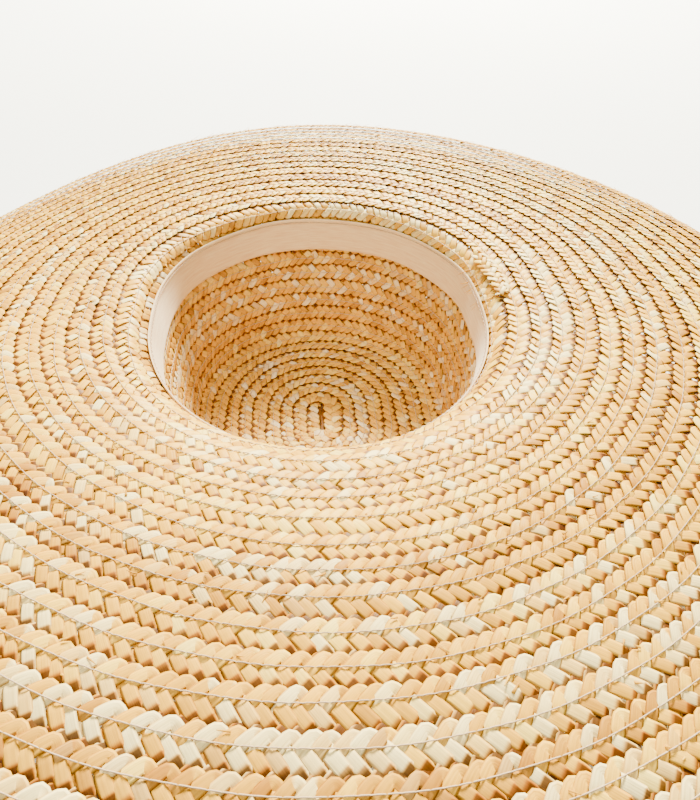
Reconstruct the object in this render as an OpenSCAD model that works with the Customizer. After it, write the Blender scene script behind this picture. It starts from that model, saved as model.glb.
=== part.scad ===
// Wide-brimmed straw sun hat, sewn from one long flat plait and lying upside down on its crown.
// The crown's tip is on the ground at Z = 0, the head opening faces up and the hat's
// front-to-back line runs along Y. Each turn of the plait is a course of its own, and each
// later course lies over the edge of the one before, on the side that faces up.

/* [Head opening] */
// Width of the head opening, between the faces of the sweatband
head_w = 171; // [140:1:210]
// How much longer than wide the oval of the hat is
oval_extra = 19; // [4:1:40]

/* [Crown] */
// Height of the crown, from its tip to the root of the brim
crown_h = 92; // [60:1:115]
// Lean of the crown's side away from upright, in degrees
side_lean = 10; // [2:1:16]
// Radius of the edge between the tip and the side
tip_edge_r = 16; // [8:1:22]
// Slope of the domed tip where it meets that edge, in degrees
dome_slope = 7; // [3:1:14]
// Half width of the button, where the plait starts
button_r = 14; // [10:0.5:18]
// Width of the slit between the two runs of the button
button_slit = 0.8; // [0.4:0.1:2]

/* [Brim] */
// Width of the brim along its surface, from the roll to the edge
brim_w = 155; // [70:1:190]
// Radius of the roll between the side and the brim
roll_r = 9; // [6:1:20]
// Slope of the brim where it leaves the roll, in degrees
brim_root_slope = 9; // [0:1:20]
// Slope of the brim at its edge, in degrees, negative where it falls
brim_edge_slope = -12; // [-20:1:8]

/* [Plait] */
// Width of the flat plait
plait_w = 15; // [12:0.5:18]
// Thickness of the flat plait
plait_t = 1.2; // [0.8:0.1:1.8]
// Clearance between two courses where they lap
lap_gap = 0.1; // [0.08:0.01:0.3]
// Courses on the tip, round the button
tip_courses = 6; // [5:1:7]
// Courses on the side
side_courses = 9; // [8:1:10]
// Courses on the brim
brim_courses = 16; // [13:1:18]

/* [Splice] */
// Width of the plait's end where a new length is sewn on
splice_w = 8; // [5:0.5:11]
// Angle that the splice turns past the straight of the oval, in degrees
splice_turn = 12; // [4:1:30]

/* [Sweatband] */
// Width of the sweatband
band_w = 18.5; // [15:0.5:35]
// Thickness of the folded cloth of the sweatband
band_t = 1; // [0.6:0.1:1.6]
// Clearance between the sweatband and the plait
band_gap = 0.3; // [0.2:0.1:0.8]
// How far the sweatband reaches up on to the roll
band_rise = 0.5; // [0:0.5:4]
// Length over which the ends of the sweatband lap
band_lap = 14; // [8:1:25]

/* [Stitching] */
// Thickness of the sewing thread
thread_d = 0.5; // [0.3:0.05:0.8]
// Distance of the plait's stitches from the edge that they hold
thread_inset = 4; // [2:0.25:5]
// Distance of the sweatband's stitches from its upper edge
band_inset = 1.5; // [1:0.25:3]
// Clearance between the thread and the face that it lies on
thread_gap = 0.05; // [0.03:0.01:0.2]

/* [Hidden] */
$fn = 96;

// Steps across one course, and the shingling: each course stands one lift above the last,
// and a course may reach over this many pitches before it comes down to the base line.
steps = 4;
lift = plait_t + lap_gap;
reach = 1.9;
face_h = reach * lift + plait_t;
oval_half = oval_extra / 2;

// Headings of the outline, in degrees up from level, and the two lengths that follow from them:
// the dome's radius and the side's length, from the size of the opening and the crown's height.
up = 90 - side_lean;
base_top_r = head_w / 2 + band_t + band_gap + face_h;
run = base_top_r - button_r - tip_edge_r * (sin(up) - sin(dome_slope));
rise = crown_h - roll_r * (cos(brim_root_slope) - cos(up)) - tip_edge_r * (cos(dome_slope) - cos(up));
det = sin(dome_slope) * sin(up) - cos(up) * (1 - cos(dome_slope));
dome_r = (run * sin(up) - rise * cos(up)) / det;
side_len = (rise * sin(dome_slope) - run * (1 - cos(dome_slope))) / det;

// The outline's pieces, each [length, heading at its start, heading at its end]
function arc_len(radius, turn) = radius * turn * PI / 180;
outline = [[arc_len(dome_r, dome_slope), 0, dome_slope],
           [arc_len(tip_edge_r, up - dome_slope), dome_slope, up],
           [side_len, up, up],
           [arc_len(roll_r, up - brim_root_slope), up, brim_root_slope],
           [brim_w, brim_root_slope, brim_edge_slope]];

// Point and heading at distance s along the outline, from the button's edge outwards
function turned(p, h, s, turn) = turn == 0
    ? [p.x + s * cos(h), p.y + s * sin(h)]
    : let (r = s * 180 / PI / turn)
      [p.x + r * (sin(h + turn) - sin(h)), p.y - r * (cos(h + turn) - cos(h))];
function walk(s, i = 0, p = [button_r, 0]) =
    let (piece = outline[i], turn = piece[2] - piece[1])
    s <= piece[0] || i == len(outline) - 1
        ? let (part = turn * s / piece[0])
          [turned(p, piece[1], s, part), piece[1] + part]
        : walk(s - piece[0], i + 1, turned(p, piece[1], piece[0], turn));

// Pitch of the courses in each zone. The last course ends at the brim's edge.
tip_len = outline[0][0];
wall_len = outline[1][0] + outline[2][0];
tip_pitch = tip_len / tip_courses;
side_pitch = wall_len / side_courses;
brim_pitch = (outline[3][0] + brim_w - plait_w) / (brim_courses - 1);
side_top = tip_len + wall_len;
last_course = tip_courses + side_courses + brim_courses;

// Distance along the outline at course number q, and course number at distance s
function s_at(q) = q <= tip_courses + 1 ? (q - 1) * tip_pitch
    : q <= tip_courses + side_courses + 1 ? tip_len + (q - 1 - tip_courses) * side_pitch
    : side_top + (q - 1 - tip_courses - side_courses) * brim_pitch;
function q_at(s) = s <= tip_len ? 1 + s / tip_pitch
    : s <= side_top ? 1 + tip_courses + (s - tip_len) / side_pitch
    : 1 + tip_courses + side_courses + (s - side_top) / brim_pitch;

// A point raised by h from the outline, towards the side that faces up
function raised(at, h) = at[0] + h * [-sin(at[1]), cos(at[1])];
function blend(a, b, t) = a + (b - a) * t;
// The same at course number q, straight between the steps so that lapped faces stay parallel
function face(q, h) =
    let (cell = floor(q * steps + 0.001), t = q * steps - cell)
    blend(raised(walk(s_at(cell / steps)), h), raised(walk(s_at((cell + 1) / steps)), h), t);

// A closed outline without the points that lie on a straight stretch of it
straight_enough = 0.0001;
function corners(pts) =
    let (n = len(pts))
    [for (i = [0:n - 1])
        let (before = pts[(i + n - 1) % n], after = pts[(i + 1) % n])
        if (abs(cross(pts[i] - before, after - pts[i])) > straight_enough) pts[i]];

// Outline of a course: its face that looks down, then the one that looks up
function course_steps(k, q_end) =
    concat([for (i = [0:3 * steps]) let (q = k + i / steps) if (q < q_end - 0.02) q], [q_end]);
function course_section(k) =
    let (qs = course_steps(k, q_at(s_at(k) + plait_w)))
    corners(concat([for (q = qs) face(q, lift * (k + reach - q))],
                   [for (i = [len(qs) - 1:-1:0]) face(qs[i], lift * (k + reach - qs[i]) + plait_t)]));

// Outline of a strip that lies between two heights over the outline, from s0 to s1
function strip_section(s0, s1, h0, h1, n = 6) =
    corners(concat([for (i = [0:n]) raised(walk(blend(s0, s1, i / n)), h0)],
                   [for (i = [n:-1:0]) raised(walk(blend(s0, s1, i / n)), h1)]));

// Carries its flat child round the whole oval
module round_oval() {
    for (half = [0, 180]) rotate(half) {
        translate([0, oval_half, 0]) rotate_extrude(angle = 180) children();
        translate([0, oval_half, 0]) rotate([90, 0, 0]) linear_extrude(oval_extra) children();
    }
}

module course(k) {
    round_oval() polygon(course_section(k));
}

// One ring of stitches on the face of each course from first to last
module stitches(first, last) {
    for (k = [first:last]) {
        q = q_at(s_at(k) + thread_inset);
        centre = face(q, lift * (k + reach - q) + plait_t + thread_gap + thread_d / 2);
        round_oval() translate(centre) circle(d = thread_d, $fn = 16);
    }
}

module crown_button() {
    lap_r = button_r + plait_w - tip_pitch;
    color("burlywood") difference() {
        union() for (y = [-oval_half, oval_half]) {
            translate([0, y, 0]) cylinder(r = lap_r, h = plait_t);
            translate([-lap_r, -oval_half, 0]) cube([2 * lap_r, oval_extra, plait_t]);
        }
        translate([-button_slit / 2, -oval_half, -1]) cube([button_slit, oval_extra, plait_t + 2]);
    }
}

module tip_course(k) {
    color("peru") course(k);
}

module side_course(k) {
    color("burlywood") course(tip_courses + k);
}

module brim_course(k) {
    color("wheat") course(tip_courses + side_courses + k);
}

module braid_splice() {
    centre_s = side_top + outline[3][0];
    h = face_h + lap_gap;
    color("wheat") {
        section = strip_section(centre_s - splice_w / 2, centre_s + splice_w / 2, h, h + plait_t);
        translate([0, oval_half, 0]) {
            rotate_extrude(angle = splice_turn) polygon(section);
            rotate([90, 0, 0]) linear_extrude(oval_extra) polygon(section);
        }
    }
}

module sweatband() {
    s1 = side_top + band_rise;
    s0 = s1 - band_w;
    h = face_h + band_gap;
    lap_turn = band_lap / (head_w / 2) * 180 / PI;
    color("antiquewhite") {
        round_oval() polygon(strip_section(s0, s1, h, h + band_t));
        translate([0, -oval_half, 0]) rotate([0, 0, -90 - lap_turn / 2])
            rotate_extrude(angle = lap_turn)
                polygon(strip_section(s0, s1 - 2 * band_inset, h + band_t / 2, h + 2 * band_t));
    }
}

module tip_stitching() {
    color("tan") stitches(1, tip_courses);
}

// The sweatband lies over the stitches of the last two courses of the side
covered_courses = 2;
module side_stitching() {
    color("tan") stitches(tip_courses + 1, tip_courses + side_courses - covered_courses);
}

module brim_stitching() {
    color("tan") stitches(tip_courses + side_courses + 2, last_course);
}

module sweatband_stitching() {
    s = side_top + band_rise - band_inset;
    h = face_h + band_gap + band_t + thread_gap + thread_d / 2;
    color("tan") round_oval() translate(raised(walk(s), h)) circle(d = thread_d, $fn = 16);
}

crown_button();
for (k = [1:tip_courses]) tip_course(k);
for (k = [1:side_courses]) side_course(k);
for (k = [1:brim_courses]) brim_course(k);
braid_splice();
sweatband();
tip_stitching();
side_stitching();
brim_stitching();
sweatband_stitching();
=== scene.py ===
"""A wide-brimmed straw sun hat lying on its crown, plaited and sewn as the real one is.

The hat is one long five-end straw plait that starts at the button and winds outwards over the tip, the
side and the brim. Every straw of the plait is a flattened tube that crosses from edge to edge, over one,
under two and over one. The long plait is cut into one piece for each turn, and each piece stands for one
course.
"""

import math

import bpy
import numpy as np
from mathutils import Matrix, Vector


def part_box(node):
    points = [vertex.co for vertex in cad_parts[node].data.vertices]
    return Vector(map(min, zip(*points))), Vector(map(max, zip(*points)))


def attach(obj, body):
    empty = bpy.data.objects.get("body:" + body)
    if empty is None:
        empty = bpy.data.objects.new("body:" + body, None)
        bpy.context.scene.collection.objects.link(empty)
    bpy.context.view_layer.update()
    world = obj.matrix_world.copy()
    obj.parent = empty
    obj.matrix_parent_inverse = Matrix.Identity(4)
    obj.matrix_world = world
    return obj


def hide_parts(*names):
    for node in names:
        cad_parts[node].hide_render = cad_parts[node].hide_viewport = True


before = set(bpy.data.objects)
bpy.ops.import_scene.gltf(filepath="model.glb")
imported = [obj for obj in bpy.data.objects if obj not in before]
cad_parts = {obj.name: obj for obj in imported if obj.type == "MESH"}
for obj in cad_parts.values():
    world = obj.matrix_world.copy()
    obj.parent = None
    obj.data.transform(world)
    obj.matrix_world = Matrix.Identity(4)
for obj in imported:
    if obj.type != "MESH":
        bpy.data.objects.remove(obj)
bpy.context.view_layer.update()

MM = 0.001
TAU = 2 * math.pi

# ---------------------------------------------------------------- sizes of the hat, in millimetres

# The plait: its width and thickness, the clearance at a lap, and how far a course reaches in pitches
PLAIT_W = 15.0
PLAIT_T = 1.2
LAP_GAP = 0.1
LIFT = PLAIT_T + LAP_GAP
REACH = 1.9
FACE_H = REACH * LIFT + PLAIT_T
TIP_COURSES, SIDE_COURSES, BRIM_COURSES = 6, 9, 16
COURSES = TIP_COURSES + SIDE_COURSES + BRIM_COURSES

# The sweatband
BAND_W = 19.5
BAND_T = 1.0
BAND_GAP = 0.3
BAND_RISE = 1.5
BAND_LAP = 14.0
BAND_INSET = 1.5

# The outline's slopes in degrees and its radii
SIDE_LEAN, DOME_SLOPE, ROOT_SLOPE, EDGE_SLOPE = 10.0, 7.0, 9.0, -12.0
TIP_EDGE_R, ROLL_R, BUTTON_R = 16.0, 9.0, 14.0
CROWN_H = 92.0

# The oval is longer than wide by its two straights, so half of one comes from the outer course's box
EDGE_HIGH = np.array(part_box(f"brim_course_{BRIM_COURSES}")[1]) / MM
OVAL_HALF = EDGE_HIGH[1] - EDGE_HIGH[0]
# Half the width of the head opening, and the brim's width along its surface. The outline runs on past the
# brim's edge, for the courses that are worked out from it there.
HEAD_R = 85.5
BRIM_W = 155.0
PAST_EDGE = 20.0


def outline_pieces():
    """The outline's pieces from the button's edge outwards, each (length, heading, turn) with the headings
    in radians: dome, tip edge, side, roll and brim. The dome's radius and the side's length solve the two
    equations that bring the outline to the head's width and the crown's height."""
    dome, up, root, edge = np.radians([DOME_SLOPE, 90 - SIDE_LEAN, ROOT_SLOPE, EDGE_SLOPE])
    top_r = HEAD_R + BAND_T + BAND_GAP + FACE_H
    run = top_r - BUTTON_R - TIP_EDGE_R * (math.sin(up) - math.sin(dome))
    rise = CROWN_H - ROLL_R * (math.cos(root) - math.cos(up)) - TIP_EDGE_R * (math.cos(dome) - math.cos(up))
    det = math.sin(dome) * math.sin(up) - math.cos(up) * (1 - math.cos(dome))
    dome_r = (run * math.sin(up) - rise * math.cos(up)) / det
    side = (rise * math.sin(dome) - run * (1 - math.cos(dome))) / det
    return [(dome_r * dome, 0.0, dome),
            (TIP_EDGE_R * (up - dome), dome, up - dome),
            (side, up, 0.0),
            (ROLL_R * (up - root), up, root - up),
            (BRIM_W + PAST_EDGE, root, (edge - root) * (BRIM_W + PAST_EDGE) / BRIM_W)]


PIECES = outline_pieces()
TIP_LEN = PIECES[0][0]
SIDE_TOP = TIP_LEN + PIECES[1][0] + PIECES[2][0]
ROLL_END = SIDE_TOP + PIECES[3][0]
TIP_PITCH = TIP_LEN / TIP_COURSES
SIDE_PITCH = (SIDE_TOP - TIP_LEN) / SIDE_COURSES
BRIM_PITCH = (PIECES[3][0] + BRIM_W - PLAIT_W) / (BRIM_COURSES - 1)


def outline(s):
    """Half width, height and heading at distance s along the outline. Each piece is an arc, or a line where
    it has no turn; before the first one the outline is level, under the button."""
    s = np.asarray(s, float)
    r = BUTTON_R + np.minimum(s, 0)
    z = np.zeros_like(s)
    heading = np.zeros_like(s)
    left = np.maximum(s, 0)
    for length, start, turn in PIECES:
        step = np.clip(left, 0, length)
        left = left - step
        swept = turn * step / length
        radius = length / turn if turn else 0.0
        r = r + (radius * (np.sin(start + swept) - math.sin(start)) if turn else step * math.cos(start))
        z = z + (radius * (math.cos(start) - np.cos(start + swept)) if turn else step * math.sin(start))
        heading = np.where(step > 0, start + swept, heading)
    return r, z, heading


def s_at(q):
    """Distance along the outline at course number q: a straight line in each of the three zones."""
    q = np.asarray(q, float)
    side, brim = TIP_COURSES + 1, TIP_COURSES + SIDE_COURSES + 1
    return np.where(q <= side, (q - 1) * TIP_PITCH,
                    np.where(q <= brim, TIP_LEN + (q - side) * SIDE_PITCH,
                             SIDE_TOP + (q - brim) * BRIM_PITCH))


def q_at(s):
    """Course number at distance s along the outline, the inverse of s_at."""
    s = np.asarray(s, float)
    return np.where(s <= TIP_LEN, 1 + s / TIP_PITCH,
                    np.where(s <= SIDE_TOP, 1 + TIP_COURSES + (s - TIP_LEN) / SIDE_PITCH,
                             1 + TIP_COURSES + SIDE_COURSES + (s - SIDE_TOP) / BRIM_PITCH))


def smooth(t):
    """The S curve 3t^2 - 2t^3 from 0 to 1, flat outside."""
    t = np.clip(t, 0, 1)
    return t * t * (3 - 2 * t)


# The bend of the worn hat in millimetres: the most that it lifts the brim, where along the brim it starts
# and the length that it is measured over, and how deep, where and how broadly the front of the roll is worn
MOST_LIFT = 13.0
BEND_START, BEND_LENGTH = 14.0, 150.0
WORN_DEPTH, WORN_PLACE, WORN_BREADTH = 6.5, 4.0, 12.0


def relax(points):
    """Bends the finished hat as worn straw bends. Each way round the brim has its own lean, in proportion to
    the distance from the roll, and its own droop, with that distance squared: both are short sums of sines
    of the way round. Where they would lift the brim, a hyperbolic tangent keeps the lift under MOST_LIFT.
    The front of the roll is worn down softly, in a bell. Points are (..., 3) in mm."""
    x, y, z = points[..., 0], points[..., 1], points[..., 2]
    reach = np.hypot(x, np.maximum(np.abs(y) - OVAL_HALF, 0)) - HEAD_R
    out = np.maximum(reach - BEND_START, 0) / BEND_LENGTH
    way = np.arctan2(y, x)
    lean = (0.2 + 1.5 * np.cos(way) - 13.2 * np.sin(way) + 5.1 * np.cos(2 * way) + 4.2 * np.sin(2 * way)
            + 3.4 * np.cos(3 * way) - 5.0 * np.sin(3 * way))
    droop = 0.8 - 1.3 * np.cos(way) + 3.2 * np.sin(way) - 8.7 * np.cos(2 * way) + 4.5 * np.sin(2 * way)
    worn = WORN_DEPTH * np.clip(-np.sin(way), 0, 1) * np.exp(-((reach - WORN_PLACE) / WORN_BREADTH) ** 2)
    bend = out * lean + out ** 2 * droop
    bend = np.where(bend > 0, MOST_LIFT * np.tanh(bend / MOST_LIFT), bend)
    return np.stack([x, y, z + bend - worn], -1)


# ---------------------------------------------------------------- the plait's path

# In turns: how far the spiral runs behind the courses' numbers, where one piece of plait is cut from the
# next, the end of the plait, where the splice starts, and the length over which the plait's end tapers in
TURN_START = 0.85
SEAM = 0.35
LAST_TURN = COURSES + 1 + SEAM
SPLICE_TURN = 16.735
TAPER = 0.16
# Half width of the slit between the first two runs, in millimetres
SLIT_HALF = 1.3


def inner_edge(turn):
    """Distance along the outline of the plait's inner edge after a number of turns. The first two runs lie
    beside the slit, the next half turn laps over them, and from there each turn adds one course. A slow
    wobble keeps the laps hand-made, and the last part tapers in over the course before it."""
    start = -BUTTON_R + SLIT_HALF
    button = start + smooth((turn - 0.75) / 0.5) * (s_at(1.25 - TURN_START) - start)
    s = np.where(turn < 1.25, button, s_at(turn - TURN_START))
    wobble = 0.45 * np.sin(TAU * turn * 2.31 + 1.0) + 0.35 * np.sin(TAU * turn * 5.17) * np.cos(turn * 3.1)
    settle = smooth((turn - 1.3) / 0.6) * smooth((LAST_TURN - turn) / 0.5)
    taper = 0.85 * BRIM_PITCH * smooth((turn - LAST_TURN + TAPER) / TAPER)
    return s + wobble * settle - taper


def place(turn, s, h):
    """Point and upward normal at a number of turns, a distance s along the outline and a height h over it.
    The way round follows the oval: half a far cap, a straight, the near cap, a straight and half a far cap,
    in proportion to their lengths at the middle of the plait."""
    mid_r = outline(inner_edge(turn) + PLAIT_W / 2)[0]
    cap = math.pi * mid_r
    length = 2 * cap + 4 * OVAL_HALF
    d = (turn % 1.0) * length
    straight = 2 * OVAL_HALF
    a1 = cap / 2
    angle = math.pi / 2 + (np.clip(d, 0, a1) + np.clip(d - a1 - straight, 0, cap)
                           + np.clip(d - a1 - 2 * straight - cap, 0, a1)) / mid_r
    centre_y = OVAL_HALF - np.clip(d - a1, 0, straight) + np.clip(d - a1 - straight - cap, 0, straight)
    r, z, heading = outline(s)
    out = r - h * np.sin(heading)
    points = np.stack([out * np.cos(angle), centre_y + out * np.sin(angle), z + h * np.cos(heading)], -1)
    normals = np.stack([-np.sin(heading) * np.cos(angle), -np.sin(heading) * np.sin(angle),
                        np.cos(heading)], -1)
    return points, normals


def plait_height(turn, s):
    """Height over the outline of the plait's lower face: each turn lies one lift over the turn before."""
    return LIFT * (turn - TURN_START + REACH - q_at(s))


# Length of plait laid down after each number of turns, from the oval's length at the plait's middle
TURNS = np.linspace(0, LAST_TURN, 40001)
MID_R = outline(inner_edge(TURNS) + PLAIT_W / 2)[0]
ROUND = TAU * (MID_R[1:] + MID_R[:-1]) / 2 + 4 * OVAL_HALF
LAID = np.concatenate([[0], np.cumsum(np.diff(TURNS) * ROUND)])


def turn_at(laid):
    """Number of turns after a length of plait, read back from the running length."""
    return np.interp(laid, LAID, TURNS)


# ---------------------------------------------------------------- the straws of the plait

# The straws: how many, the length of plait between two folds at an edge and between two folds of one straw,
# the rings of a tube in that length, a straw's swing to either side, its width, and its rise over the others
ENDS = 5
STEP = 5.1
PERIOD = ENDS * STEP
SAMPLES = 36
RING = PERIOD / SAMPLES
SWING = 6.3
STRAW_W = 4.2
STRAW_RISE = 0.40
# How pointed the folds at the edges are, 1 for a sharp corner, and how suddenly a straw changes level
POINTED = 0.985
SUDDEN = 9
# Shift of the woven straws outwards from the plait's middle line, in millimetres
OUTWARD = 0.4
# Section of a flattened straw: across in half widths, up in millimetres
SECTION = np.array([(-1.0, -0.06), (-0.62, 0.16), (0.62, 0.16), (1.0, -0.06)])
# As shares of the swing: where a straw changes level, half way between the outer and the middle crossings
# of five ends, and the last crossing, where it begins to fold over
CHANGE = 0.4
LAST_CROSSING = 0.6


def straw_paths(laid, shift):
    """Across the plait and up from its middle, for straws at phases shift along the laid length. Across is a
    triangle wave with rounded turns. On its way to the inner edge a straw runs over one, under two and over
    one, and on its way back under one, over two and under one; it folds over where it turns at an edge."""
    uneven = 0.9 * np.sin(laid / 23.0 + 9 * shift) + 0.5 * np.sin(laid / 9.7 + 31 * shift)
    phase = (laid + uneven) / PERIOD + shift
    share = np.arcsin(POINTED * np.sin(TAU * phase)) / math.asin(POINTED)
    weave = np.tanh(SUDDEN * (np.abs(share) - CHANGE))
    fold = np.cos(math.pi / 2 * np.clip((np.abs(share) - LAST_CROSSING) / (1 - LAST_CROSSING), 0, 1))
    going = np.where(np.cos(TAU * phase) >= 0, 1.0, -1.0)
    return -SWING * share, STRAW_RISE * going * fold * weave, phase


def tubes(centres, normals, width, section, roll):
    """Tubes of one flat section along many paths at once. Centres are (paths, rings, 3); at each ring the
    section stands across the path, on the axes normal-cross-tangent and normal, tilted by roll."""
    tangent = np.gradient(centres, axis=1)
    tangent /= np.linalg.norm(tangent, axis=-1, keepdims=True)
    side = np.cross(normals, tangent)
    side /= np.linalg.norm(side, axis=-1, keepdims=True)
    up = np.cross(tangent, side)
    side, up = (side + roll[..., None] * up), (up - roll[..., None] * side)
    across = section[:, 0][None, None, :, None] * width[..., None, None] / 2
    rise = section[:, 1][None, None, :, None]
    return centres[:, :, None] + side[:, :, None] * across + up[:, :, None] * rise


def tube_faces(paths, rings, around):
    """Quads of closed tubes with their end caps. Vertices are numbered by path, ring and place round it."""
    i = np.arange(rings - 1)[:, None] * around
    k = np.arange(around)[None, :]
    k1 = (k + 1) % around
    skin = np.stack([i + k, i + around + k, i + around + k1, i + k1], -1).reshape(-1, 4)
    last = (rings - 1) * around
    one = np.concatenate([skin, [[0, 1, 2, 3], [last + 3, last + 2, last + 1, last]]])
    return (np.arange(paths)[:, None, None] * rings * around + one[None]).reshape(-1, 4)


def new_piece(name, verts, quads, uv=None, tone=None, soft=True):
    """A mesh object from arrays of vertices in millimetres and quads, with a UV for every vertex and a
    colour attribute named tone where they are given. Soft says which faces are shaded smooth: all of them,
    or one by one."""
    mesh = bpy.data.meshes.new(name)
    mesh.vertices.add(len(verts))
    mesh.vertices.foreach_set("co", (verts * MM).astype(np.float32).ravel())
    mesh.loops.add(quads.size)
    mesh.loops.foreach_set("vertex_index", quads.astype(np.int32).ravel())
    mesh.polygons.add(len(quads))
    mesh.polygons.foreach_set("loop_start", np.arange(0, quads.size, 4, dtype=np.int32))
    mesh.polygons.foreach_set("use_smooth", np.broadcast_to(soft, len(quads)))
    mesh.update(calc_edges=True)
    if uv is not None:
        layer = mesh.uv_layers.new(name="grain")
        layer.data.foreach_set("uv", uv[quads.ravel()].astype(np.float32).ravel())
    if tone is not None:
        layer = mesh.color_attributes.new("tone", "FLOAT_COLOR", "POINT")
        layer.data.foreach_set("color", tone.astype(np.float32).ravel())
    piece = bpy.data.objects.new(name, mesh)
    bpy.context.scene.collection.objects.link(piece)
    return piece


# Tones of the straws, one for each crossing of each end: how ripe and how bleached
FLOATS = int(LAID[-1] / PERIOD * 2) + 8
DRAW = np.random.default_rng(7)


def slow_noise(ends, count, width):
    """Noise of unit spread for each end, smoothed along the plait by a bell of the given width in floats."""
    raw = DRAW.normal(size=(ends, count + 8 * width))
    bell = np.exp(-0.5 * (np.arange(-3 * width, 3 * width + 1) / width) ** 2)
    bell /= math.sqrt((bell ** 2).sum())
    return np.stack([np.convolve(row, bell, "same")[4 * width:4 * width + count] for row in raw])


def tones(own, own_width, shared, shared_width, single):
    """Tone of each crossing: a share that runs slowly along each end, one common to all the ends, and one
    of its own, drawn in that order."""
    runs = own * slow_noise(ENDS, FLOATS, own_width) + shared * slow_noise(1, FLOATS, shared_width)
    return runs + single * DRAW.normal(size=(ENDS, FLOATS))


RIPE = tones(0.55, 6, 0.45, 20, 0.6)
BLEACH = tones(0.75, 2, 0.55, 8, 0.25)
# Mean and spread of both tones, as they are written to the attribute from 0 to 1
TONE_MIDDLE, TONE_SPREAD = 0.5, 0.25


def crevice_painted_shade(up, cover):
    """Painted shade on the two faces of a straw, 1 in the open and towards 0 in a crevice, where shade
    falls:
    either face where it dips under another straw, and the upper one also where it is less than the cover,
    in millimetres, from the edge of the next course. In the order of the section's four points."""
    lap = smooth((cover - 0.7) / 1.0)
    high = (0.6 + 0.4 * smooth((up / STRAW_RISE + 0.75) / 1.3)) * (0.05 + 0.95 * lap)
    low = 0.6 + 0.4 * smooth((0.75 - up / STRAW_RISE) / 1.3)
    return np.stack([low, high, high, low], -1)


def straw_run(name, laid, turn, s_mid, squeeze, height, lapped=True):
    """Five straws woven along one stretch of plait. Laid, turn, s_mid and squeeze hold a value for each
    ring: length of plait, number of turns, distance of the middle along the outline and how far the straws
    are drawn together. Height gives the lower face over the outline. A lapped run has the next turn's edge
    over it, and beside that edge the straw is darkened with painted shade, except in a bell round the
    sweatband's upper edge. The tone changes from edge to edge."""
    shift = (np.arange(ENDS) / ENDS)[:, None]
    across, up, phase = straw_paths(laid[None, :], shift)
    turns = np.broadcast_to(turn, across.shape)
    s = s_mid + across * squeeze
    centres, normals = place(turns, s, height(turns, s) + PLAIT_T / 2 + up)
    number = np.clip(np.floor(2 * phase + 0.5).astype(int), 0, FLOATS - 1)
    end_no = np.broadcast_to(np.arange(ENDS)[:, None], number.shape)
    width = STRAW_W * (1 + 0.05 * RIPE[end_no, number]) * (0.35 + 0.65 * squeeze)
    width = width * (1 - 0.15 * np.clip(np.abs(across) / SWING, 0, 1) ** 4)
    roll = 0.06 + 0.05 * BLEACH[end_no, number]
    verts = tubes(relax(centres), normals, width, SECTION, roll)
    paths, count, around = verts.shape[:3]
    # The painted shade beside the lap is lifted in a bell round the sweatband's upper edge
    shade_lifted_at_band = 2.5 * np.exp(-((s - SIDE_TOP - BAND_RISE) / 3.0) ** 2)
    cover = np.where(lapped & (turns < LAST_TURN - 1), inner_edge(turns + 1) - s + shade_lifted_at_band, PLAIT_W)
    # The tone's third value is the painted shade of each face
    light = crevice_painted_shade(up, cover)
    ripe = TONE_MIDDLE + TONE_SPREAD * RIPE[end_no, number]
    bleach = TONE_MIDDLE + TONE_SPREAD * BLEACH[end_no, number]
    tone = np.stack(np.broadcast_arrays(ripe[:, :, None], bleach[:, :, None], light, 1.0), -1).reshape(-1, 4)
    along = np.broadcast_to(laid[None, :, None] / PERIOD, verts.shape[:3])
    round_it = np.broadcast_to(np.arange(around) / around, verts.shape[:3])
    uv = np.stack([along + shift[:, :, None], round_it], -1)
    skin = np.arange((count - 1) * around)
    crowned = np.tile(np.append(skin % around < around - 1, [False, False]), paths)
    quads = tube_faces(paths, count, around)
    return new_piece(name, verts.reshape(-1, 3), quads, uv.reshape(-1, 2), tone, crowned)


def plait_piece(name, laid_from, laid_to):
    """One stretch of the plait in its place on the hat, between two laid lengths. Its last end tapers."""
    laid = np.arange(math.floor(laid_from / RING), math.ceil(laid_to / RING) + 1) * RING
    laid = np.clip(laid, laid_from, laid_to)
    turn = turn_at(laid)
    squeeze = 0.45 + 0.55 * smooth((LAID[-1] - laid) / 60)
    return straw_run(name, laid, turn, inner_edge(turn) + PLAIT_W / 2 + OUTWARD, squeeze, plait_height)


SPLICE_LENGTH = 44


def splice_end(name):
    """The end of a length of plait where a new one was sewn on: it lies over the first courses of the brim,
    on the right of the opening. Its width follows a flattened half sine, so that it is drawn together at
    both ends, and its last end lifts a little."""
    laid = np.arange(0, SPLICE_LENGTH, RING)
    share = laid / laid[-1]
    turn = SPLICE_TURN + share * laid[-1] / (TAU * (HEAD_R + 12) + 4 * OVAL_HALF)
    squeeze = 0.12 + 0.43 * np.sin(math.pi * np.clip(share * 0.86 + 0.10, 0, 1)) ** 0.7
    middle = ROLL_END - 0.5 + 1.0 * np.sin(5 * share)
    lift = FACE_H + 0.2 + 1.1 * share ** 6
    return straw_run(name, laid, turn, middle, squeeze, lambda turns, s: lift + 0 * s, lapped=False)


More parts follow.
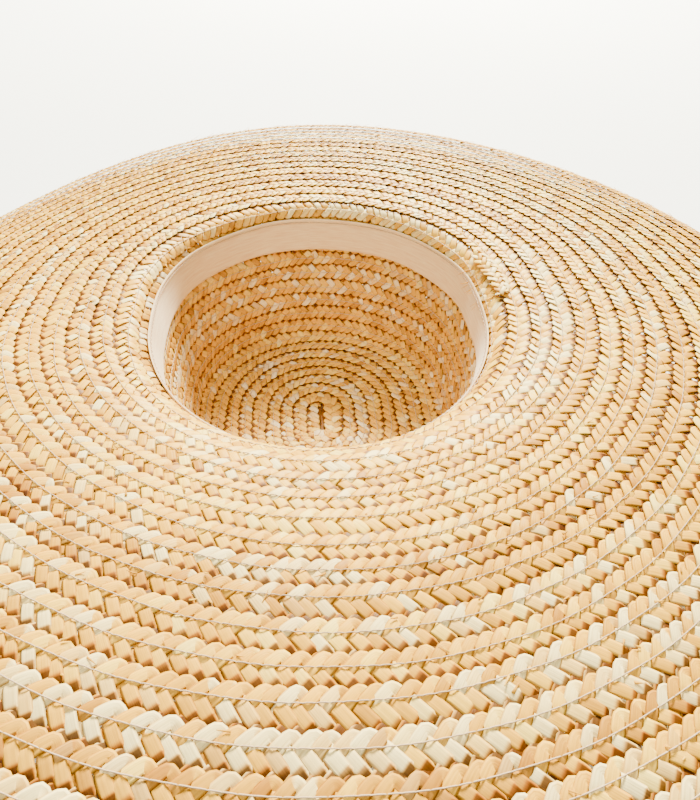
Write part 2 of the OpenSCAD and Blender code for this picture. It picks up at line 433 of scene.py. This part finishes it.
def tucked_start(name):
    """The very start of the plait, folded under the slit of the button: five straws side by side along it,
    each a flat tube with a slight sway."""
    end = np.arange(ENDS)[:, None]
    along = np.linspace(-OVAL_HALF - 11, OVAL_HALF + 11, 24)[None, :]
    across = (end - 2) * 2.3 + 0.4 * np.sin(along / 3.0 + end)
    up = 0.75 + 0.12 * (end % 2) + 0 * along
    centres = np.stack(np.broadcast_arrays(across, along, up), -1)
    normals = np.zeros_like(centres) + (0.0, 0.0, 1.0)
    verts = tubes(centres, normals, np.full(up.shape, 2.5), SECTION, np.zeros(up.shape))
    # The tone's third value is painted shade, darker than in the open, for the start lies under the button's
    # runs
    tone = np.zeros(verts.shape[:3] + (4,)) + (0.12, 0.4, 0.35, 1.0)
    uv = np.stack(np.broadcast_arrays((along / PERIOD + end)[:, :, None], np.arange(4) / 4), -1)
    return new_piece(name, verts.reshape(-1, 3), tube_faces(ENDS, along.size, 4), uv.reshape(-1, 2),
                     tone.reshape(-1, 4))


def frayed_ends(name, count, turn_from, turn_to, across, length, lift):
    """Short split ends of straw, each a narrow tube of four rings that leaves the plait along its direction,
    turns a little aside and up, and tapers to a point. They are strewn evenly by length of plait."""
    laid_from, laid_to = np.interp([turn_from, turn_to], TURNS, LAID)
    laid = DRAW.uniform(laid_from, laid_to, count)
    turn = turn_at(laid)
    offset = DRAW.uniform(*across, count)
    ahead = DRAW.choice([-1.0, 1.0], count) * DRAW.uniform(0.25, 1.0, count)
    aside = DRAW.uniform(-1.0, 0.6, count)
    size = DRAW.uniform(*length, count)
    rise = DRAW.uniform(*lift, count)
    step = np.array([0.0, 0.4, 0.75, 1.0])[None, :]
    turns = turn[:, None] + ahead[:, None] * size[:, None] * step / (TAU * (MID_R.mean() + 60))
    s = inner_edge(turn)[:, None] + offset[:, None] + (aside * size)[:, None] * step
    height = plait_height(turn[:, None], s[:, :1]) + PLAIT_T + 0.1 + (rise * size)[:, None] * step ** 1.6
    centres, normals = place(turns, s, height)
    width = DRAW.uniform(0.45, 1.0, count)[:, None] * np.array([1.0, 0.8, 0.5, 0.15])[None, :]
    verts = tubes(relax(centres), normals, width, SECTION * (1.0, 0.5), np.zeros(turns.shape))
    # The tone's third value is painted shade, a little darker than in the open
    tone = np.stack(np.broadcast_arrays(DRAW.uniform(0.2, 0.8, count)[:, None, None], 0.45, 0.75,
                                        np.ones(verts.shape[:3])), -1)
    uv = np.stack(np.broadcast_arrays(step[:, :, None] / 4 + laid[:, None, None], np.arange(4) / 4), -1)
    quads = tube_faces(count, 4, 4)
    return new_piece(name, verts.reshape(-1, 3), quads, uv.reshape(-1, 2), tone.reshape(-1, 4))


# ---------------------------------------------------------------- the sewing thread

# Length of a stitch of the plait and of the sweatband, thickness of the thread, its distance from the edge
# that it holds, and how far it stands up between its dips
STITCH = 3.6
BAND_STITCH = 3.0
THREAD_D = 0.5
THREAD_INSET = 4.4
THREAD_WAVE = 0.32
THREAD_SECTION = np.array([(-0.8, 0.0), (0.0, 0.5), (0.8, 0.0), (0.0, -0.5)]) * (1.0, THREAD_D)


def stitch_wave(laid):
    """Height of a machine stitch: it lies on top for most of its length and dips into the straw between."""
    return THREAD_WAVE * np.tanh(2.0 * (np.cos(TAU * laid / STITCH) + 0.45))


def seam_thread(name, turn_from, turn_to):
    """The line of stitches that holds one turn of plait on the last, a thin tube along the inner edge."""
    laid_from, laid_to = np.interp([turn_from, turn_to], TURNS, LAID)
    laid = np.arange(laid_from, laid_to, STITCH / 4)[None, :]
    turn = turn_at(laid)
    s = inner_edge(turn) + THREAD_INSET + 0.15 * np.sin(laid / 7.0)
    centres, normals = place(turn, s, plait_height(turn, s) + PLAIT_T - 0.05 + stitch_wave(laid))
    width = np.full(laid.shape, THREAD_D)
    verts = tubes(relax(centres), normals, width, THREAD_SECTION, np.zeros(laid.shape))
    uv = np.stack(np.broadcast_arrays(laid[:, :, None] / STITCH, np.arange(4) / 4), -1)
    return new_piece(name, verts.reshape(-1, 3), tube_faces(1, laid.size, 4), uv.reshape(-1, 2))


# ---------------------------------------------------------------- the sweatband

def loop_round(share, mid_r, r, z):
    """Points of closed loops round the oval: share is how far round, mid_r the loop's own half width for
    the lengths of its caps, r the half width and z the height at each point."""
    cap, straight = math.pi * mid_r, 2 * OVAL_HALF
    d = (share % 1.0) * (2 * cap + 2 * straight)
    a1 = cap / 2
    angle = math.pi / 2 + (np.clip(d, 0, a1) + np.clip(d - a1 - straight, 0, cap)
                           + np.clip(d - a1 - 2 * straight - cap, 0, a1)) / mid_r
    centre_y = OVAL_HALF - np.clip(d - a1, 0, straight) + np.clip(d - a1 - straight - cap, 0, straight)
    return np.stack([r * np.cos(angle), centre_y + r * np.sin(angle), z + 0 * angle], -1)


BAND_TOP = SIDE_TOP + BAND_RISE
BAND_ROUND = 2 * math.pi * HEAD_R + 4 * OVAL_HALF
BAND_DIP = 2.6


def band_dip(share):
    """How much lower the sweatband is sewn at the front, where the roll is worn down: a half cosine."""
    return -BAND_DIP * np.clip(-np.cos(TAU * share), 0, 1)


def band_rise(share):
    """The slight unevenness of the line on which the sweatband is sewn, from two sines."""
    return 0.35 * np.sin(TAU * 3 * share + 1.0) + 0.2 * np.sin(TAU * 8 * share)


def band_loops(name, profile, around=720):
    """A closed cloth strip round the opening. Its profile is a loop of (distance down from the top edge,
    height off the plait), carried round the oval; the lower edge sways a little in and out."""
    share = np.arange(around)[:, None] / around
    down, off = profile[:, 0][None, :], profile[:, 1][None, :]
    sway = (0.35 * np.sin(TAU * 5 * share + 0.6) + 0.25 * np.sin(TAU * 11 * share)) * (down / BAND_W) ** 2
    r, z, heading = outline(BAND_TOP - down + band_rise(share) + band_dip(share))
    h = FACE_H + off + sway
    points = relax(loop_round(share, HEAD_R, r - h * np.sin(heading), z + h * np.cos(heading)))
    k = np.arange(len(profile))
    i = np.arange(around)[:, None]
    k1, i1 = (k + 1) % len(profile), (i + 1) % around
    n = len(profile)
    quads = np.stack([i * n + k, i * n + k1, i1 * n + k1, i1 * n + k], -1).reshape(-1, 4)
    uv = np.stack(np.broadcast_arrays(share * BAND_ROUND, down), -1)
    return new_piece(name, points.reshape(-1, 3), quads, uv.reshape(-1, 2))


def sweatband():
    """The sweatband: one thickness of folded cloth with a rolled hem at the top and a rounded fold below."""
    step = np.linspace(0, 1, 13)
    fold = np.linspace(0, math.pi, 7)[1:-1]
    turn = np.linspace(-1.2, 2.7, 11)
    hem = np.stack([0.6 - 0.6 * np.cos(turn), 0.40 + 0.38 * np.sin(turn)], -1)
    inner = np.stack([2.2 + step * (BAND_W - 2.9), 0.75 + 0.15 * np.sin(step * math.pi)], -1)
    turned = np.stack([BAND_W - 0.7 + 0.5 * np.sin(fold), 0.3 + 0.3 * np.cos(fold)], -1)
    back = np.stack([np.linspace(BAND_W - 0.9, 1.6, 9), np.full(9, 0.02)], -1)
    return band_loops("sweatband_cloth", np.concatenate([hem, inner, turned, back]))


def band_lap():
    """The end of the sweatband that laps over its start at the front: a strip with a thin closed section,
    carried over a short way round the oval and lying on the band."""
    share = 0.5 + np.linspace(-0.5, 0.5, 9)[:, None] * BAND_LAP / BAND_ROUND
    one_way = np.linspace(2 * BAND_INSET, BAND_W - 0.3, 12)
    down = np.concatenate([one_way, one_way[::-1]])
    off = np.repeat([1.45, 0.6], 12) - 0.25 * (np.abs(down - down.mean()) > 7.2)
    r, z, heading = outline(BAND_TOP - down[None, :] + band_dip(share))
    h = FACE_H + off[None, :]
    points = relax(loop_round(share, HEAD_R, r - h * np.sin(heading), z + h * np.cos(heading)))
    n, rows = len(down), len(share)
    k, i = np.arange(n), np.arange(rows - 1)[:, None]
    k1 = (k + 1) % n
    skin = np.stack([i * n + k, i * n + k1, (i + 1) * n + k1, (i + 1) * n + k], -1).reshape(-1, 4)
    j = np.arange(n // 2 - 1)
    cap = np.stack([j, n - 1 - j, n - 2 - j, j + 1], -1)
    quads = np.concatenate([skin, cap, (rows - 1) * n + cap[:, ::-1]])
    uv = np.stack(np.broadcast_arrays(share * BAND_ROUND + 3.0, down[None, :]), -1)
    return new_piece("sweatband_lap", points.reshape(-1, 3), quads, uv.reshape(-1, 2))


def band_thread():
    """The stitches under the hem of the sweatband, a thread round the oval that dips between stitches."""
    count = int(BAND_ROUND / 0.8)
    share = np.arange(count)[None, :] / count
    laid = share * BAND_ROUND
    r, z, heading = outline(BAND_TOP - BAND_INSET + band_rise(share) + band_dip(share))
    h = FACE_H + 0.95 + 0.28 * np.tanh(2 * np.cos(TAU * laid / BAND_STITCH))
    centres = relax(loop_round(share, HEAD_R, r - h * np.sin(heading), z + h * np.cos(heading)))
    angle = np.arctan2(centres[..., 1], centres[..., 0])
    normals = np.stack([-np.cos(angle), -np.sin(angle), 0 * angle], -1)
    verts = tubes(centres, normals, np.full(share.shape, THREAD_D), THREAD_SECTION, np.zeros(share.shape))
    return new_piece("sweatband_thread", verts.reshape(-1, 3), tube_faces(1, count, 4),
                     np.zeros((verts.size // 3, 2)))


# ---------------------------------------------------------------- materials

def shader(name):
    """A new node material and its tree, its shader and an adder of linked nodes."""
    material = bpy.data.materials.new(name)
    material.use_nodes = True
    tree = material.node_tree
    principled = tree.nodes["Principled BSDF"]

    def add(kind, links=(), **values):
        node = tree.nodes.new(kind)
        for key, value in values.items():
            setattr(node, key, value)
        for socket, source in links:
            if hasattr(source, "is_output"):
                tree.links.new(source, node.inputs[socket])
            else:
                node.inputs[socket].default_value = source
        return node

    return material, tree, principled, add


def ramp(add, source, stops, kind="LINEAR"):
    """A colour ramp from a factor, its stops given as (place, colour)."""
    node = add("ShaderNodeValToRGB", [("Fac", source)])
    node.color_ramp.interpolation = kind
    elements = node.color_ramp.elements
    while len(elements) < len(stops):
        elements.new(0.5)
    for element, (where, colour) in zip(elements, stops):
        element.position = where
        element.color = (*colour, 1)
    return node.outputs["Color"]


def times(add, tree, colour, other):
    """A colour output multiplied by another, or by one fixed colour."""
    node = add("ShaderNodeMix", data_type="RGBA", blend_type="MULTIPLY")
    node.inputs[0].default_value = 1
    tree.links.new(colour, node.inputs[6])
    if isinstance(other, tuple):
        node.inputs[7].default_value = (*other, 1)
    else:
        tree.links.new(other, node.inputs[7])
    return node.outputs[2]


def straw_material(name, shade):
    """Ripe wheat straw: each crossing has its own gold from the tone attribute, bleached ones go cream, and
    long fibres run down every straw as fine streaks of colour and relief. Crevices and the strips beside the
    laps are darkened with painted shade, and all of it is multiplied by the shade, a tint that for the crown
    is painted light."""
    material, tree, principled, add = shader(name)
    tone = add("ShaderNodeAttribute", attribute_name="tone")
    parts = add("ShaderNodeSeparateColor", [("Color", tone.outputs["Color"])])
    gold = ramp(add, parts.outputs["Red"],
                [(0.0, (0.48, 0.21, 0.016)), (0.28, (0.71, 0.37, 0.026)), (0.55, (0.88, 0.48, 0.034)),
                 (0.8, (0.96, 0.64, 0.080)), (1.0, (0.98, 0.75, 0.18))])
    pale = ramp(add, parts.outputs["Green"],
                [(0.0, (0, 0, 0)), (0.66, (0, 0, 0)), (0.80, (0.85, 0.85, 0.85)), (1.0, (1, 1, 1))])
    mixed = add("ShaderNodeMix", data_type="RGBA")
    tree.links.new(pale, mixed.inputs[0])
    tree.links.new(gold, mixed.inputs[6])
    mixed.inputs[7].default_value = (1.0, 0.85, 0.40, 1)
    grain = add("ShaderNodeUVMap", uv_map="grain")
    stretch = add("ShaderNodeMapping", [("Vector", grain.outputs["UV"]), ("Scale", (3.0, 26.0, 1.0))])
    fibre = add("ShaderNodeTexNoise",
                [("Vector", stretch.outputs["Vector"]), ("Scale", 1.0), ("Detail", 3.0)])
    streak = ramp(add, fibre.outputs["Fac"],
                  [(0.3, (0.80, 0.76, 0.70)), (0.55, (1, 1, 1)), (0.75, (1.08, 1.07, 1.04))])
    where = add("ShaderNodeTexCoord")
    blotch = add("ShaderNodeTexNoise",
                 [("Vector", where.outputs["Object"]), ("Scale", 22.0), ("Detail", 4.0)])
    patch = ramp(add, blotch.outputs["Fac"], [(0.3, (0.92, 0.90, 0.86)), (0.6, (1, 1, 1))])
    # Painted shade: the tone's third value darkens the straw towards deep brown in crevices and beside the
    # laps
    painted_shade = ramp(add, parts.outputs["Blue"],
                [(0.0, (0.07, 0.030, 0.012)), (0.3, (0.45, 0.28, 0.15)), (0.6, (0.90, 0.80, 0.66)),
                 (0.85, (1, 1, 1))])
    straw = times(add, tree, times(add, tree, mixed.outputs[2], streak), patch)
    colour = times(add, tree, straw, times(add, tree, painted_shade, shade))
    tree.links.new(colour, principled.inputs["Base Color"])
    rough = add("ShaderNodeMapRange", [("Value", fibre.outputs["Fac"]), ("To Min", 0.36), ("To Max", 0.56)])
    tree.links.new(rough.outputs["Result"], principled.inputs["Roughness"])
    bump = add("ShaderNodeBump",
               [("Height", fibre.outputs["Fac"]), ("Strength", 0.35), ("Distance", 0.00025)])
    tree.links.new(bump.outputs["Normal"], principled.inputs["Normal"])
    principled.inputs["Specular IOR Level"].default_value = 0.22
    principled.inputs["Specular Tint"].default_value = (1.0, 0.80, 0.50, 1)
    return material


def thread_material():
    """Twisted cotton thread: pale straw beige with a fine twist in its colour and relief."""
    material, tree, principled, add = shader("sewing_thread")
    grain = add("ShaderNodeUVMap", uv_map="grain")
    twist = add("ShaderNodeTexWave", [("Vector", grain.outputs["UV"]), ("Scale", 6.0), ("Distortion", 1.0)],
                bands_direction="DIAGONAL")
    colour = ramp(add, twist.outputs["Fac"], [(0.0, (0.50, 0.33, 0.19)), (1.0, (0.74, 0.57, 0.38))])
    tree.links.new(colour, principled.inputs["Base Color"])
    bump = add("ShaderNodeBump", [("Height", twist.outputs["Fac"]), ("Strength", 0.4), ("Distance", 0.0001)])
    tree.links.new(bump.outputs["Normal"], principled.inputs["Normal"])
    principled.inputs["Roughness"].default_value = 0.7
    principled.inputs["Sheen Weight"].default_value = 0.2
    return material


def cloth_material():
    """Pale plain-woven cotton: warp and weft as two crossed waves in the strip's own millimetres, with slubs
    and a slow variation of colour."""
    material, tree, principled, add = shader("band_cotton")
    grain = add("ShaderNodeUVMap", uv_map="grain")
    warp = add("ShaderNodeTexWave", [("Vector", grain.outputs["UV"]), ("Scale", 0.55), ("Distortion", 0.6),
                                     ("Detail Scale", 2.0)], bands_direction="X")
    weft = add("ShaderNodeTexWave", [("Vector", grain.outputs["UV"]), ("Scale", 0.55), ("Distortion", 0.6),
                                     ("Detail Scale", 2.0)], bands_direction="Y")
    weave = add("ShaderNodeMath", operation="MULTIPLY")
    tree.links.new(warp.outputs["Fac"], weave.inputs[0])
    tree.links.new(weft.outputs["Fac"], weave.inputs[1])
    slub = add("ShaderNodeMapping", [("Vector", grain.outputs["UV"]), ("Scale", (0.08, 0.9, 1.0))])
    slubs = add("ShaderNodeTexNoise", [("Vector", slub.outputs["Vector"]), ("Scale", 1.0), ("Detail", 3.0)])
    base = ramp(add, slubs.outputs["Fac"], [(0.3, (0.88, 0.62, 0.35)), (0.7, (1.0, 0.82, 0.52))])
    shade = ramp(add, weave.outputs["Value"], [(0.0, (0.90, 0.88, 0.86)), (0.6, (1, 1, 1))])
    tree.links.new(times(add, tree, base, shade), principled.inputs["Base Color"])
    bump = add("ShaderNodeBump",
               [("Height", weave.outputs["Value"]), ("Strength", 0.35), ("Distance", 0.0002)])
    tree.links.new(bump.outputs["Normal"], principled.inputs["Normal"])
    principled.inputs["Roughness"].default_value = 0.88
    principled.inputs["Sheen Weight"].default_value = 0.35
    principled.inputs["Sheen Roughness"].default_value = 0.5
    return material


def floor_material():
    """A pale matt floor with a trace of unevenness."""
    material, tree, principled, add = shader("studio_floor")
    where = add("ShaderNodeTexCoord")
    noise = add("ShaderNodeTexNoise", [("Vector", where.outputs["Object"]), ("Scale", 3.0)])
    colour = ramp(add, noise.outputs["Fac"], [(0.3, (0.87, 0.92, 0.98)), (0.7, (0.89, 0.94, 0.99))])
    tree.links.new(colour, principled.inputs["Base Color"])
    principled.inputs["Roughness"].default_value = 0.9
    return material


# ---------------------------------------------------------------- putting the hat together

# The crown's straw is the brim's with painted light: a tint a little less red and with more blue, which
# offsets the warm light bounced round inside the crown
STRAW = {"straw_brim": straw_material("wheat_straw_brim", (1.0, 1.0, 1.0)),
         "straw_crown": straw_material("wheat_straw_crown", (0.94, 0.96, 1.35))}
THREAD = thread_material()
CLOTH = cloth_material()


def finish_piece(piece, material, slot, *nodes):
    """Gives a piece its material and lets it ride on the hat in place of its CAD nodes. The slot is not
    used.
    """
    piece.data.materials.append(material)
    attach(piece, "root")
    if nodes:
        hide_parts(*nodes)
    return piece


def make_plait():
    """Every course of the plait, one piece for each turn from the button out."""
    names = (["crown_button"] + [f"tip_course_{k + 1}" for k in range(TIP_COURSES)]
             + [f"side_course_{k + 1}" for k in range(SIDE_COURSES)]
             + [f"brim_course_{k + 1}" for k in range(BRIM_COURSES)])
    cuts = np.interp([0.0] + [k + 1 + SEAM for k in range(len(names))], TURNS, LAID)
    for node, laid_from, laid_to in zip(names, cuts[:-1], cuts[1:]):
        slot = "straw_brim" if node.startswith("brim") else "straw_crown"
        finish_piece(plait_piece("plait_" + node, laid_from, laid_to), STRAW[slot], slot, node)
    finish_piece(splice_end("plait_splice"), STRAW["straw_brim"], "straw_brim", "braid_splice")
    finish_piece(tucked_start("plait_start"), STRAW["straw_crown"], "straw_crown")


def make_frays():
    """Split ends of straw: along the hat's outer edge, at the laps of the brim, round the splice and inside
    the crown."""
    edge, brim = LAST_TURN - 1.05, TIP_COURSES + SIDE_COURSES + 2
    for zone, count, turns, across, length, lift in (
            ("edge", 220, (edge, LAST_TURN - 0.15), (PLAIT_W - 1.5, PLAIT_W - 0.3), (2.5, 6.0), (0.0, 0.35)),
            ("brim", 420, (brim, LAST_TURN - 0.2), (0.4, PLAIT_W * 0.65), (2.0, 5.0), (0.05, 0.3)),
            ("splice", 36, (SPLICE_TURN, SPLICE_TURN + 0.06), (-1.0, 14.0), (3.0, 8.0), (0.2, 0.8)),
            ("crown", 90, (3.0, brim - 3), (0.4, PLAIT_W * 0.6), (1.5, 3.5), (0.05, 0.3))):
        slot = "straw_crown" if zone == "crown" else "straw_brim"
        finish_piece(frayed_ends("frays_" + zone, count, *turns, across, length, lift), STRAW[slot], slot)


def make_threads():
    """The thread of each zone, and the one of the sweatband. The sweatband covers the last two turns of the
    side, and the first turn of all has no lap to sew."""
    side, brim = TIP_COURSES + 1 + SEAM, TIP_COURSES + SIDE_COURSES + 1 + SEAM
    for zone, turns in (("tip", (1.3, side)), ("side", (side, brim - 2)), ("brim", (brim, LAST_TURN))):
        finish_piece(seam_thread(f"thread_{zone}", *turns), THREAD, "thread", f"{zone}_stitching")
    return finish_piece(band_thread(), THREAD, "thread", "sweatband_stitching")


def make_studio():
    """The camera, the pale floor and warm light: a strong lamp behind the hat and to the right, a weak one
    overhead and a weak one at the front left."""
    # Height of the head opening, from which the camera's height is counted
    rim = 0.0875
    camera = bpy.data.objects.new("camera", bpy.data.cameras.new("camera"))
    camera.data.lens = 31.12
    camera.data.sensor_fit = "HORIZONTAL"
    camera.data.sensor_width = 36
    camera.data.clip_start = 0.01
    right = Vector((0.99403, -0.10772, 0.01748)).normalized()
    ahead = Vector((0.09037, 0.72270, -0.68523)).normalized()
    up = right.cross(ahead).normalized()
    camera.matrix_world = Matrix.Translation((-0.01577, -0.26782, 0.18311 + rim)) @ \
        Matrix((right, up, -ahead)).transposed().to_4x4()
    bpy.context.scene.collection.objects.link(camera)
    bpy.context.scene.camera = camera

    # Half the floor's width in metres
    size = 4.0
    corners = np.array([(-size, -size, 0), (size, -size, 0), (size, size, 0), (-size, size, 0)]) / MM
    floor = new_piece("floor", corners, np.array([[0, 1, 2, 3]]))
    floor.data.materials.append(floor_material())

    aim = Vector((0, 0, 0.08))
    for name, where, power, width in (("key", (0.48, 2.32, 1.76), 670, 0.8),
                                      ("top", (0.1, -0.3, 1.8), 20, 1.2),
                                      ("fill", (-0.9, -1.0, 1.3), 17, 1.2)):
        lamp = bpy.data.objects.new(name, bpy.data.lights.new(name, "AREA"))
        lamp.data.energy = power
        lamp.data.size = width
        lamp.data.color = (1.0, 0.925, 0.71)
        lamp.location = where
        lamp.rotation_euler = (aim - Vector(where)).to_track_quat("-Z", "Y").to_euler()
        bpy.context.scene.collection.objects.link(lamp)

    world = bpy.data.worlds.new("studio")
    world.use_nodes = True
    world.node_tree.nodes["Background"].inputs["Color"].default_value = (1.0, 0.99, 0.97, 1)
    world.node_tree.nodes["Background"].inputs["Strength"].default_value = 0.30
    bpy.context.scene.world = world


make_studio()
make_plait()
make_frays()
BAND_STITCHES = make_threads()
BAND = finish_piece(sweatband(), CLOTH, "band_cloth", "sweatband")
BAND_END = finish_piece(band_lap(), CLOTH, "band_cloth")
